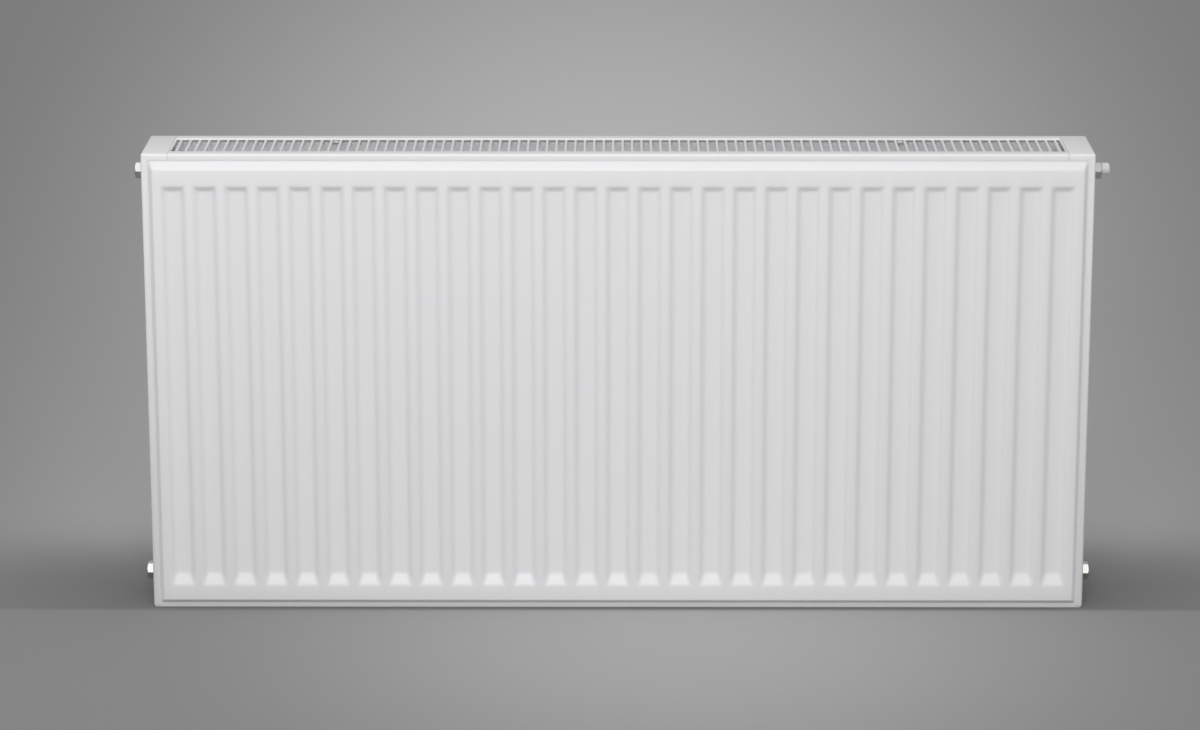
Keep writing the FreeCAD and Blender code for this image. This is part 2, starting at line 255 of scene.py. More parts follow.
def repeatAlongX(piece, tileFaces, copies, spacing, material, weld=True):
    # the piece's first tileFaces faces are the tile that is repeated
    mark = piece.data.attributes.new("repeats", "FLOAT", "FACE")
    mark.data.foreach_set("value", [float(k < tileFaces) for k in range(len(piece.data.polygons))])
    modifier = piece.modifiers.new("repeat", "NODES")
    modifier.node_group = repeater
    values = {"Copies": copies, "Spacing": spacing, "Finish": material}
    for item in repeater.interface.items_tree:
        if item.in_out == "INPUT" and item.name in values:
            modifier[item.identifier] = values[item.name]
    if weld:
        joins = piece.modifiers.new("joins", "WELD")
        joins.merge_threshold = hair


repeater = repeatTree("repeatAlongTheRadiator")


# camera

camera = {"place": (0.0044, -4.0, 1.3724), "downDeg": 14.321, "yawDeg": 0.336, "rollDeg": -0.053,
          "lensMm": 116.094, "sensorMm": 36.0, "shiftDown": 0.07, "farthestMetres": 60.0}


def addCamera(values):
    down, yaw, roll = (math.radians(values[k]) for k in ("downDeg", "yawDeg", "rollDeg"))
    right = Vector((math.cos(yaw), math.sin(yaw), 0))
    level = Vector((-math.sin(yaw), math.cos(yaw), 0))
    forward = level * math.cos(down) - Vector((0, 0, math.sin(down)))
    up = level * math.sin(down) + Vector((0, 0, math.cos(down)))
    right, up = (right * math.cos(roll) + up * math.sin(roll),
                 up * math.cos(roll) - right * math.sin(roll))
    data = bpy.data.cameras.new("studioCamera")
    data.sensor_width = values["sensorMm"]
    data.lens = values["lensMm"]
    data.shift_y = -values["shiftDown"]
    data.clip_end = values["farthestMetres"]
    rig = bpy.data.objects.new("studioCamera", data)
    axes = Matrix((right, up, -forward)).transposed().to_4x4()
    rig.matrix_world = Matrix.Translation(values["place"]) @ axes
    scene.collection.objects.link(rig)
    scene.camera = rig


addCamera(camera)
print("camera placed")


# materials

# noiseSpan is the part of the noise that goes from smoothest to roughest
enamelFinish = {"colour": "#EFEFF1", "otherColour": "#EDEDEE", "smoothest": 0.38, "roughest": 0.44,
                "noiseSpan": (0.3, 0.7), "patchMm": 1000 / 6, "patchDetail": 2.0, "peelMm": 3.2,
                "peelDetail": 1.5,
                "bumpMm": 0.01, "bumpShare": 0.3, "shine": {"IOR": 1.5}}
nickelFinish = {"colour": "#E2E0DD", "otherColour": "#D4D2CE", "smoothest": 0.2, "roughest": 0.3,
                "noiseSpan": (0.3, 0.7), "stainMm": 1000 / 140, "stainDetail": 2.0, "grainMm": 0.6,
                "grainDetail": 3.0, "stretch": (40.0, 1.0, 1.0),
                "bumpMm": 0.01, "bumpShare": 0.2, "shine": {"Metallic": 1.0}}
brassFinish = {**nickelFinish, "colour": "#C9A15A", "otherColour": "#B58E4B", "smoothest": 0.21,
               "roughest": 0.31, "grainMm": 0.5}
plasticFinish = {"colour": "#E4E4E3", "otherColour": "#DDDDDB", "smoothest": 0.34, "roughest": 0.42,
                 "noiseSpan": (0.0, 1.0), "grainMm": 0.8, "grainDetail": 2.0,
                 "bumpMm": 0.01, "bumpShare": 0.3, "shine": {"IOR": 1.53}}
rubberFinish = {**plasticFinish, "colour": "#1C1C1D", "otherColour": "#242425", "smoothest": 0.56,
                "roughest": 0.64, "grainMm": 0.5, "shine": {"IOR": 1.52}}


def closeMaterial(material, tree, output, values, tone, sheen, relief):
    # tone, sheen and relief are the noises behind the colour, the roughness and the bump
    least, most = values["noiseSpan"]
    tint = addNode(tree, "ShaderNodeMix", {"data_type": "RGBA", 6: linearColour(values["colour"]),
                                           7: linearColour(values["otherColour"])}, [(0, tone, "Fac")])
    rough = addNode(tree, "ShaderNodeMapRange", {"From Min": least, "From Max": most,
                                                 "To Min": values["smoothest"],
                                                 "To Max": values["roughest"]}, [("Value", sheen, "Fac")])
    bump = addNode(tree, "ShaderNodeBump", {"Strength": values["bumpShare"],
                                            "Distance": values["bumpMm"] * mm}, [("Height", relief, "Fac")])
    shader = addNode(tree, "ShaderNodeBsdfPrincipled", values["shine"],
                     [("Base Color", tint, 2), ("Roughness", rough, "Result"), ("Normal", bump, "Normal")])
    tree.links.new(shader.outputs[0], output.inputs[0])
    return material


def bakedEnamel(name, values):
    # powder coat baked on steel: half gloss, with the faint orange peel that baking leaves
    material, tree, output, place = newMaterial(name)
    broad = addNode(tree, "ShaderNodeTexNoise",
                    {"Scale": 1000 / values["patchMm"], "Detail": values["patchDetail"]},
                    [("Vector", place, "Object")])
    # real orange peel is under 1 mm across, drawn coarser here so that it shows
    peel = addNode(tree, "ShaderNodeTexNoise",
                   {"Scale": 1000 / values["peelMm"], "Detail": values["peelDetail"]},
                   [("Vector", place, "Object")])
    return closeMaterial(material, tree, output, values, broad, broad, peel)


def turnedMetal(name, values):
    # a bar turned on a lathe: fine rings round it, and a faint uneven tone
    material, tree, output, place = newMaterial(name)
    mapped = addNode(tree, "ShaderNodeMapping", {"Scale": values["stretch"]}, [("Vector", place, "Object")])
    grain = addNode(tree, "ShaderNodeTexNoise",
                    {"Scale": 1000 / values["grainMm"], "Detail": values["grainDetail"]},
                    [("Vector", mapped, "Vector")])
    stain = addNode(tree, "ShaderNodeTexNoise",
                    {"Scale": 1000 / values["stainMm"], "Detail": values["stainDetail"]},
                    [("Vector", place, "Object")])
    return closeMaterial(material, tree, output, values, stain, grain, grain)


def mouldedFinish(name, values):
    # moulded plastic or rubber: the fine grain of the mould
    material, tree, output, place = newMaterial(name)
    grain = addNode(tree, "ShaderNodeTexNoise",
                    {"Scale": 1000 / values["grainMm"], "Detail": values["grainDetail"]},
                    [("Vector", place, "Object")])
    return closeMaterial(material, tree, output, values, grain, grain, grain)


slotMaterials = {
    "white_enamel": bakedEnamel("bakedWhiteEnamel", enamelFinish),
    "nickel_plate": turnedMetal("brightNickelPlate", nickelFinish),  # a bright, cool plate on brass
    "screw_brass": turnedMetal("turnedBrass", brassFinish),  # warm yellow, left bare
    "white_plastic": mouldedFinish("mouldedWhitePolyamide", plasticFinish),  # a little duller than enamel
    "seal_rubber": mouldedFinish("blackSealRubber", rubberFinish)}  # near black and matt
print("materials made")


# pressed panel sheets

# outer and inner give a sheet's flutes and the parts that each of its slopes is divided into
pressedSheet = {"sheetMm": 1.25, "pitchMm": 1000 / 30, "mouthMm": 24.8, "floorMm": 15.6,
                "outer": (29, 5), "inner": (27, 2),
                "fluteLowMm": 26.0, "fluteHighMm": 465.4, "endLowMm": 13.5, "endHighMm": 5.9,
                "rimSideMm": 6.7, "rimLowMm": 5.5, "rimHighMm": 6.5,
                "slopeSideMm": 3.6, "slopeLowMm": 3.8, "slopeHighMm": 8.5,
                "fluteBendMm": 2.2, "endBendMm": 1.9, "rimBendMm": 1.2,
                "cornerEase": 0.6, "rimCornerEase": 0.6, "rimEdgeMm": 0.3}


def easedStep(distance, bend):
    # 0 below the step and 1 above it, the corners at 0 and 1 eased over the bend
    if distance > 0.5:
        return 1 - easedStep(1 - distance, bend)
    if distance > bend:
        return distance
    return 0.0 if distance < -bend else (distance + bend) ** 2 / (4 * bend)


def stepAtCorner(across, along, bendAcross, bendAlong, ease):
    # two steps that meet in a mitre, eased a little where they meet
    gap = abs(across - along)
    nearer = min(across, along) - max(0.0, ease - gap) ** 2 / (4 * ease)
    share = min(1.0, max(0.0, 0.5 + (along - across) / (2 * ease)))
    return easedStep(nearer, bendAcross * share + bendAlong * (1 - share))


def stepStations(start, run, bend, parts=2):
    # places across one step: dense where it bends, with the slope between in so many parts
    share = min(0.49, bend / abs(run))  # under half, so that the two bends never meet
    marks = [-share, -share / 2, 0, share / 2, share]
    middle = [share + (1 - 2 * share) * k / parts for k in range(1, parts)]
    marks = marks + middle + [1 - m for m in marks[::-1]]
    return [start + run * m for m in marks]


def buildPressedSheet(name, node, facing, kind, values):
    # facing is -1 for a sheet that bulges into the room and 1 for one that bulges to the wall
    low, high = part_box(node)
    flutes, parts = values[kind]
    top, halfLength = high.z / mm, high.x / mm
    flange = (high.y if facing < 0 else low.y) / mm + facing * values["sheetMm"]
    bulge = (high.y - low.y) / mm - values["sheetMm"]
    half, mouth = values["pitchMm"] / 2, values["mouthMm"] / 2
    wallRun = mouth - values["floorMm"] / 2
    fluteBend, endBend, rimBend = values["fluteBendMm"], values["endBendMm"], values["rimBendMm"]
    lowEdge, highEdge = values["rimLowMm"], top - values["rimHighMm"]
    rows = [0.0] + stepStations(lowEdge, values["slopeLowMm"], rimBend, parts)
    rows += stepStations(values["fluteLowMm"], values["endLowMm"], endBend, parts)
    rows += stepStations(values["fluteHighMm"], -values["endHighMm"], endBend, parts)[::-1]
    rows += stepStations(highEdge, -values["slopeHighMm"], rimBend, parts)[::-1] + [top]
    walls = stepStations(mouth, -wallRun, fluteBend)
    tileColumns = sorted([-half, half] + walls + [-x for x in walls])
    sideColumns = [0.0] + stepStations(values["rimSideMm"], values["slopeSideMm"], rimBend, parts)
    sideColumns += [halfLength - flutes * half]

    def place(x, z, inTile):
        # distances are in steps from the foot of each slope: of the rim first, then of the flute
        atTop = z > top / 2
        slope = values["slopeHighMm"] if atTop else values["slopeLowMm"]
        upright = (highEdge - z if atTop else z - lowEdge) / slope
        side = math.inf if inTile else (halfLength - abs(x) - values["rimSideMm"]) / values["slopeSideMm"]
        height = stepAtCorner(side, upright, rimBend / values["slopeSideMm"], rimBend / slope,
                              values["rimCornerEase"])
        if inTile:
            run = values["endHighMm"] if atTop else values["endLowMm"]
            end = (values["fluteHighMm"] - z if atTop else z - values["fluteLowMm"]) / run
            height -= stepAtCorner((mouth - abs(x)) / wallRun, end, fluteBend / wallRun, endBend / run,
                                   values["cornerEase"])
        return (x if facing < 0 else -x) * mm, (flange + facing * bulge * height) * mm, z * mm

    verts, faces = gridMesh(tileColumns, rows, lambda x, z: place(x, z, True))
    tileFaces = len(faces)
    for side in (-1, 1):
        columns = sorted(side * (halfLength - x) for x in sideColumns)
        addPart(verts, faces, *gridMesh(columns, rows, lambda x, z: place(x, z, False)))
    piece = makeObject(name, verts, faces)
    repeatAlongX(piece, tileFaces, flutes, values["pitchMm"] * mm, slotMaterials["white_enamel"])
    solidify(piece, values["sheetMm"] * mm)
    plainMesh(piece)
    roundEdges(piece, values["rimEdgeMm"] * mm, degrees=60)
    finishPiece(piece, "radiator", "white_enamel", node)


buildPressedSheet("roomSidePressing", "front_panel_room_sheet", -1, "outer", pressedSheet)
buildPressedSheet("wallSidePressing", "rear_panel_wall_sheet", 1, "outer", pressedSheet)
buildPressedSheet("frontInnerPressing", "front_panel_inner_sheet", 1, "inner", pressedSheet)
buildPressedSheet("rearInnerPressing", "rear_panel_inner_sheet", -1, "inner", pressedSheet)
print("pressed sheets made")


# folded convector fins

convectorFin = {"sheetMm": 0.5, "pitchMm": 1000 / 30, "footMm": 7.6, "tipMm": 14.0, "foldMm": 2.6,
                "foldSegments": 4}


def roundedLine(points, radius, segments):
    # an open line whose inner corners are rounded
    line = [Vector(points[0])]
    for before, corner, after in zip(points, points[1:], points[2:]):
        before, corner, after = Vector(before), Vector(corner), Vector(after)
        back, ahead = (before - corner).normalized(), (after - corner).normalized()
        halfAngle = back.angle(ahead) / 2
        reach = radius / math.tan(halfAngle)
        middle = corner + (back + ahead).normalized() * (radius / math.sin(halfAngle))
        start, end = corner + back * reach - middle, corner + ahead * reach - middle
        for k in range(segments + 1):
            line.append(middle + start.slerp(end, k / segments) * radius)
    line.append(Vector(points[-1]))
    return line


def buildConvector(name, node, facing, values):
    # one wave from foot to foot is the tile, facing is the way from feet to tips
    low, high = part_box(node)
    feet = (low.y if facing > 0 else high.y) + facing * values["sheetMm"] * mm
    tips = high.y if facing > 0 else low.y
    pitch, foot, tip = (values[k] * mm for k in ("pitchMm", "footMm", "tipMm"))
    waves = round((high.x - low.x - foot) / pitch)
    wave = [(-pitch / 2, feet, 0), (-pitch / 2 + foot / 2, feet, 0), (-tip / 2, tips, 0),
            (tip / 2, tips, 0), (pitch / 2 - foot / 2, feet, 0), (pitch / 2, feet, 0)]
    line = roundedLine(wave, values["foldMm"] * mm, values["foldSegments"])
    if facing < 0:
        line = [Vector((-p.x, p.y, 0)) for p in line]
    levels = [low.z, high.z]
    verts, faces = gridMesh(range(len(line)), levels, lambda k, z: (line[k].x, line[k].y, z))
    tileFaces = len(faces)
    faces = [face[::-1] for face in faces]
    for side in (-1, 1):
        # the flat feet at the two ends
        edge, end = side * waves * pitch / 2, (low.x if side < 0 else high.x)
        columns = sorted((edge, end), reverse=facing > 0)
        addPart(verts, faces, *gridMesh(columns, levels, lambda x, z: (x, feet, z)))
    piece = makeObject(name, verts, faces)
    repeatAlongX(piece, tileFaces, waves, pitch, slotMaterials["white_enamel"])
    solidify(piece, values["sheetMm"] * mm)
    plainMesh(piece)
    smoothByAngle(piece, degrees=40)
    finishPiece(piece, "radiator", "white_enamel", node)


buildConvector("frontFoldedFins", "front_convector", 1, convectorFin)
buildConvector("rearFoldedFins", "rear_convector", -1, convectorFin)
print("convectors made")


# folded side covers

sideCover = {"sheetMm": 1.0, "foldRadiusMm": 2.4, "foldSegments": 5, "lipMm": 7.6, "skirtMm": 7.3,
             "footRadiusMm": 3.0, "footSegments": 5, "edgeMm": 0.25,
             "windowRadiusMm": 15.0, "windowSides": 64, "windowReachMm": 5.0}


def buildSideCover(name, node, body, side, values):
    low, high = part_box(node)
    outer = low.x if side < 0 else high.x
    inner = high.x if side < 0 else low.x
    lip = outer - side * values["lipMm"] * mm
    skirt = high.z - values["skirtMm"] * mm
    foot = values["footRadiusMm"] * mm
    outline = [(outer, low.z)]
    for k in range(values["footSegments"] + 1):
        turn = math.pi / 2 * k / values["footSegments"]
        outline.append((lip + side * foot * (1 - math.sin(turn)), low.z + foot * (1 - math.cos(turn))))
    outline += [(lip, skirt), (inner, skirt), (inner, high.z), (outer, high.z)]
    mesh = bmesh.new()
    front, rear = ([mesh.verts.new((x, y, z)) for x, z in outline] for y in (low.y, high.y))
    mesh.faces.new(front)
    mesh.faces.new(rear)
    for k in (-1, -2):
        # the outline's last two sides are the end wall and the top, the rest stays open
        mesh.faces.new([front[k], front[(k + 1) % len(front)], rear[(k + 1) % len(rear)], rear[k]])
    bmesh.ops.recalc_face_normals(mesh, faces=mesh.faces)
    folds = [edge for edge in mesh.edges if len(edge.link_faces) == 2]
    bmesh.ops.bevel(mesh, geom=folds, offset=values["foldRadiusMm"] * mm, segments=values["foldSegments"],
                    profile=0.5, affect="EDGES")
    if sum(f.normal.x * side * f.calc_area() for f in mesh.faces) < 0:
        bmesh.ops.reverse_faces(mesh, faces=mesh.faces)
    data = bpy.data.meshes.new(name)
    mesh.to_mesh(data)
    mesh.free()
    piece = bpy.data.objects.new(name, data)
    scene.collection.objects.link(piece)
    solidify(piece, values["sheetMm"] * mm)
    rim, reach = circle(values["windowRadiusMm"]), values["windowReachMm"]
    hole = [(outer / mm - reach, rim), (outer / mm + reach, rim)]
    cutWith(piece, [makeObject("window", *turnedMesh(hole, values["windowSides"], height=height))
                    for height in (tapping["downMm"], tapping["upMm"])])
    roundEdges(piece, values["edgeMm"] * mm, degrees=50)
    smoothByAngle(piece, degrees=30)
    finishPiece(piece, body, "white_enamel", node)


buildSideCover("leftFoldedCover", "left_side_cover", "left_cover", -1, sideCover)
buildSideCover("rightFoldedCover", "right_side_cover", "right_cover", 1, sideCover)
print("side covers made")


# top grille

topGrille = {"sheetMm": 1.0, "rollRadiusMm": 2.4, "rollSegments": 6, "slotLengthMm": 60.0, "slats": 94,
             "slatPitchMm": 10.0, "slatWidthMm": 2.6, "slatDepthMm": 5.0, "slatEdgeMm": 0.6,
             "borderMm": 2.2, "sinkMm": 1.2, "sinkSlopeMm": 2.0, "sinkEndSlopeMm": 1.4, "edgeMm": 0.22,
             "overlapMm": 0.3}


def buildGrilleFrame(values):
    low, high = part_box("top_grille")
    radius = values["rollRadiusMm"] * mm
    slotEnd = values["slotLengthMm"] / 2 * mm
    windowEnd = high.x - values["borderMm"] * mm
    section = [(low.y, low.z)]
    for k in range(values["rollSegments"] + 1):
        turn = math.pi / 2 * k / values["rollSegments"]
        section.append((low.y + radius * (1 - math.cos(turn)), high.z - radius * (1 - math.sin(turn))))
    section += [(-slotEnd - values["sinkSlopeMm"] * mm, high.z), (-slotEnd, high.z)]
    section += [(-y, z) for y, z in section[::-1]]
    slopeEnd = windowEnd + values["sinkEndSlopeMm"] * mm
    columns = [low.x, -slopeEnd, -windowEnd, windowEnd, slopeEnd, high.x]

    def point(x, k):
        y, z = section[k]
        sunk = abs(x) < windowEnd + hair and abs(y) < slotEnd + hair
        return x, y, z - values["sinkMm"] * mm if sunk else z

    verts, faces = gridMesh(columns, range(len(section)), point)
    middleRow, middleColumn = len(section) // 2 - 1, len(columns) // 2 - 1
    del faces[middleRow * (len(columns) - 1) + middleColumn]  # the window that the slats cross
    piece = makeObject("grilleFrame", verts, faces)
    solidify(piece, values["sheetMm"] * mm)
    plainMesh(piece)
    roundEdges(piece, values["edgeMm"] * mm, degrees=25)
    smoothByAngle(piece, degrees=30)
    finishPiece(piece, "grille", "white_enamel", "top_grille")


def buildGrilleSlats(values):
    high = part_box("top_grille")[1]
    half, edge = values["slatWidthMm"] / 2 * mm, values["slatEdgeMm"] * mm
    cut = edge * roundShare
    end = (values["slotLengthMm"] / 2 + values["overlapMm"]) * mm
    bottom, top = high.z - values["slatDepthMm"] * mm, high.z - values["sinkMm"] * mm
    ring = [(-half, bottom), (half, bottom), (half, top - edge), (half - cut, top - cut),
            (half - edge, top), (edge - half, top), (cut - half, top - cut), (-half, top - edge)]
    verts = [(x, y, z) for y in (-end, end) for x, z in ring]
    size = len(ring)
    faces = [(k, (k + 1) % size, size + (k + 1) % size, size + k) for k in range(size)]
    faces += [tuple(range(size - 1, -1, -1)), tuple(range(size, 2 * size))]
    piece = makeObject("grilleSlats", verts, faces)
    repeatAlongX(piece, len(faces), values["slats"], values["slatPitchMm"] * mm,
                 slotMaterials["white_enamel"], weld=False)
    plainMesh(piece)
    smoothByAngle(piece, degrees=50)
    finishPiece(piece, "grille", "white_enamel")


buildGrilleFrame(topGrille)
buildGrilleSlats(topGrille)
print("grille made")


# corner tees with their threaded sockets

cornerTee = {"halfMm": 13.0, "edgeMm": 1.5, "edgeSegments": 3, "socketRadiusMm": 13.5, "socketEdgeMm": 0.5,
             "boreRadiusMm": 9.9, "boreMm": 18.0, "mouthMm": 0.7, "mouthPastMm": 0.1, "cutterPastMm": 1.0,
             "centreMm": 500 - 100 / 3, "sides": 72}  # the centre is one flute in from the end


def buildTees(name, node, values):
    low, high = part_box(node)
    height = (low.z + high.z) / 2 / mm
    half, centre, face, sides = values["halfMm"], values["centreMm"], tapping["faceMm"], values["sides"]
    outer, bore, mouth = values["socketRadiusMm"], values["boreRadiusMm"], values["mouthMm"]
    edge = values["socketEdgeMm"]
    socket = [(centre, circle(outer)), (face - edge, circle(outer)), (face, circle(outer - edge))]
    cutter = [(face - values["boreMm"], circle(bore)), (face - mouth, circle(bore)),
              (face + values["mouthPastMm"], circle(bore + mouth)),
              (face + values["cutterPastMm"], circle(bore + mouth))]
    verts, faces = [], []
    for side in (-1, 1):
        block = makeBox("block", [(side * centre + way * half) * mm for way in (-1, 1)],
                        (-high.y, high.y), [(height + way * half) * mm for way in (-1, 1)])
        roundEdges(block, values["edgeMm"] * mm, degrees=60, segments=values["edgeSegments"])
        cutWith(block, [makeObject("socket", *turnedMesh(socket, sides, side, height))], "UNION")
        cutWith(block, [makeObject("bore", *turnedMesh(cutter, sides, side, height))])
        takeMesh(verts, faces, block)
    piece = makeObject(name, verts, faces)
    smoothByAngle(piece, degrees=40)
    finishPiece(piece, "radiator", "white_enamel", node)


buildTees("upperCornerTees", "upper_tees", cornerTee)
buildTees("lowerCornerTees", "lower_tees", cornerTee)
print("tees made")


# blind plugs, the bleed valve and its nozzle

# the seal, its groove and the full flange are depths from the face that the plug seats on
plug = {"shankMm": 12.0, "shankRadiusMm": 9.85, "leadMm": 0.8, "flangeRadiusMm": 12.0, "flangeMm": 4.5,
        "sealMm": 0.8, "grooveEndMm": 1.3, "flangeFullMm": 1.6, "grooveMm": 0.5, "edgeMm": 0.4,
        "acrossMm": 17.0, "endMm": 511.0, "chamferMm": 1.0, "turnedInMm": 0.3,
        "keyAcrossMm": 8.0, "keyDepthMm": 7.0, "keyEdgeMm": 0.3, "keyEdgeDepthMm": 0.4, "sides": 72}
bleedValve = {"spigotRadiusMm": 3.5, "rimRadiusMm": 4.1, "rimMm": 1.0, "rimStepMm": 0.1, "rimEdgeMm": 0.4,
              "spigotEndMm": 515.0, "boreRadiusMm": 2.25, "boreEdgeMm": 0.3,
              "seatRadiusMm": 1.4, "seatMm": 498.5}


def plugStations(values):
    # shank, flange with the groove of its seal, and hexagon with a turned end
    face, shank, flange = tapping["faceMm"], values["shankRadiusMm"], values["flangeRadiusMm"]
    edge, lead, end, across = values["edgeMm"], values["leadMm"], values["endMm"], values["acrossMm"]
    start, top, cut = face - values["shankMm"], face + values["flangeMm"], edge * roundShare
    groove = circle(flange - values["grooveMm"] - edge)
    stations = [(start, circle(shank - lead)), (start + lead, circle(shank)), (face, circle(shank)),
                (face, circle(flange - edge)), (face + values["sealMm"], circle(flange - edge)),
                (face + values["sealMm"], groove), (face + values["grooveEndMm"], groove),
                (face + values["grooveEndMm"], circle(flange - cut)),
                (face + values["flangeFullMm"], circle(flange)), (top - edge, circle(flange)),
                (top - cut, circle(flange - cut)), (top, circle(flange - edge)), (top, hexagon(across))]
    for share in (0, 0.25, 0.5, 0.75, 1):
        # the chamfer turns the hexagon's corners down until the end is round
        limit = hexagonCorner(across) - share * (hexagonCorner(across) - across / 2 + values["turnedInMm"])
        stations.append((end - values["chamferMm"] * (1 - share), hexagon(across, limit)))
    return stations


def buildBlindPlugs(values):
    end, across = values["endMm"], values["keyAcrossMm"]
    stations = plugStations(values)
    stations += [(end, circle(hexagonCorner(across) + values["keyEdgeMm"])),
                 (end - values["keyEdgeDepthMm"], hexagon(across)),
                 (end - values["keyDepthMm"], hexagon(across))]
    up, down = tapping["upMm"], tapping["downMm"]
    verts, faces = [], []
    for side, height in ((-1, up), (-1, down), (1, down)):
        addPart(verts, faces, *turnedMesh(stations, values["sides"], side, height))
    piece = makeObject("blindPlugs", verts, faces)
    smoothByAngle(piece, degrees=25)
    finishPiece(piece, "radiator", "nickel_plate", "blind_plugs")


def buildValveBody(values, valve):
    end, bore, seat = values["endMm"], valve["boreRadiusMm"], valve["seatRadiusMm"]
    tip, spigot, rim = valve["spigotEndMm"], valve["spigotRadiusMm"], valve["rimRadiusMm"]
    rimStart, edge, mouth = tip - valve["rimMm"], valve["rimEdgeMm"], valve["boreEdgeMm"]
    stations = plugStations(values)
    stations += [(end, circle(spigot)), (rimStart, circle(spigot)),
                 (rimStart + valve["rimStepMm"], circle(rim)), (tip - edge, circle(rim)),
                 (tip, circle(rim - edge)), (tip, circle(bore + mouth)), (tip - mouth, circle(bore)),
                 (valve["seatMm"], circle(bore)), (valve["seatMm"], circle(seat)),
                 (tapping["faceMm"] - values["shankMm"], circle(seat))]
    piece = makeObject("bleedValveBody", *turnedMesh(stations, values["sides"], height=tapping["upMm"],
                                                     closed=True))
    smoothByAngle(piece, degrees=25)
    finishPiece(piece, "radiator", "nickel_plate", "bleed_valve_body")


buildBlindPlugs(plug)
buildValveBody(plug, bleedValve)

# leanMm: back from the mouth, then what the outside loses in radius and in lift there
nozzle = {"radiusMm": 6.3, "liftMm": 1.4, "startMm": 511.4, "endMm": 520.0, "narrowMm": 3.55, "wideMm": 4.15,
          "stepMm": 513.7, "edgeMm": 0.3, "mouthEdgeMm": 0.12,
          "leanMm": ((3.2, 0.0, 0.0), (1.6, 0.15, 0.1), (0.6, 0.55, 0.35), (0.0, 1.2, 0.75)), "sides": 64,
          "outletMm": 1.5, "outletInsetMm": 2.5, "outletReachMm": 9.0, "outletSides": 24}
bleedScrew = {"radiusMm": 2.2, "tailMm": 501.5, "tailEdgeMm": 0.4, "tailLeadMm": 0.5,
              "neckMm": 514.0, "neckStepMm": 0.1, "headMm": 515.3, "endMm": 519.5,
              "headAcrossMm": 5.0, "headRadiusMm": 3.3, "headEdgeMm": 0.5, "endAcrossMm": 4.4,
              "endRadiusMm": 2.7, "threadMm": 1.0, "threadDepthMm": 0.3, "stepsPerTurn": 8,
              "slotMm": 1.0, "slotDepthMm": 1.2, "cutterHalfMm": 4.0, "cutterPastMm": 1.0, "sides": 48}
sealTip = {"radiusMm": 2.0, "startMm": 498.5, "endMm": 501.5, "edgeMm": 0.4, "sides": 40}


def buildNozzle(values):
    # the outside is set off the bore's axis, and leans in towards the mouth
    start, end, radius, lift = values["startMm"], values["endMm"], values["radiusMm"], values["liftMm"]
    wide, narrow, edge = values["wideMm"], values["narrowMm"], values["edgeMm"]
    stations = [(start, circle(radius - edge, lift)), (start + edge, circle(radius, lift))]
    stations += [(end - back, circle(radius - thinner, lift - lower))
                 for back, thinner, lower in values["leanMm"]]
    stations += [(end, circle(wide + values["mouthEdgeMm"])), (end - edge, circle(wide)),
                 (values["stepMm"], circle(wide)), (values["stepMm"], circle(narrow)),
                 (start + edge, circle(narrow)), (start, circle(narrow + edge))]
    height = tapping["upMm"]
    piece = makeObject("bleedNozzle", *turnedMesh(stations, values["sides"], height=height, closed=True))
    # the outlet is cut straight down through the wall
    drill = circle(values["outletMm"])
    verts, faces = turnedMesh([(0, drill), (values["outletReachMm"], drill)], values["outletSides"])
    outlet = end - values["outletInsetMm"]
    hanging = [(outlet * mm + z, y, height * mm - x) for x, y, z in verts]
    cutWith(piece, [makeObject("outlet", hanging, faces)])
    smoothByAngle(piece, degrees=35)
    finishPiece(piece, "nozzle", "white_plastic", "bleed_nozzle")


def buildScrew(values):
    # a fine thread on the stem, then a square for the key with a driver slot across it
    radius, pitch, depth = values["radiusMm"], values["threadMm"], values["threadDepthMm"]
    tail, neck, head, end = values["tailMm"], values["neckMm"], values["headMm"], values["endMm"]
    start, perTurn = tail + values["tailLeadMm"], values["stepsPerTurn"]

    def threaded(x):
        def ring(turn):
            phase = (x / pitch - turn / (2 * math.pi)) % 1
            here = radius - depth * abs(2 * phase - 1)
            return here * math.cos(turn), here * math.sin(turn)
        return ring

    square = flats(4, values["headAcrossMm"], 0, values["headRadiusMm"])
    stations = [(tail, circle(radius - values["tailEdgeMm"]))]
    stations += [(start + k * pitch / perTurn, threaded(start + k * pitch / perTurn))
                 for k in range(round((neck - start) / pitch * perTurn) + 1)]
    stations += [(neck + values["neckStepMm"], circle(radius - depth)), (head, circle(radius - depth)),
                 (head, square), (end - values["headEdgeMm"], square),
                 (end, flats(4, values["endAcrossMm"], 0, values["endRadiusMm"]))]
    height = tapping["upMm"]
    piece = makeObject("bleedScrew", *turnedMesh(stations, values["sides"], height=height))
    slotHalf, cutterHalf = values["slotMm"] / 2, values["cutterHalfMm"]
    floor = end - values["slotDepthMm"]
    cutWith(piece, [makeBox("slot", [x * mm for x in (floor, end + values["cutterPastMm"])],
                            [y * mm for y in (-cutterHalf, cutterHalf)],
                            [(height + z) * mm for z in (-slotHalf, slotHalf)])])
    smoothByAngle(piece, degrees=30)
    finishPiece(piece, "key_screw", "screw_brass", "bleed_screw")


def buildSealTip(values):
    start, end, radius, edge = values["startMm"], values["endMm"], values["radiusMm"], values["edgeMm"]
    cut = edge * roundShare
    stations = [(start, circle(radius - edge)), (start + cut, circle(radius - cut)),
                (start + edge, circle(radius)), (end, circle(radius))]
    piece = makeObject("sealTip", *turnedMesh(stations, values["sides"], height=tapping["upMm"]))
    smoothByAngle(piece, degrees=60)
    finishPiece(piece, "seal_carrier", "seal_rubber", "bleed_seal_tip")


buildNozzle(nozzle)
buildScrew(bleedScrew)
buildSealTip(sealTip)
print("plugs and bleed valve made")


# wall-hanging lugs and grille clips

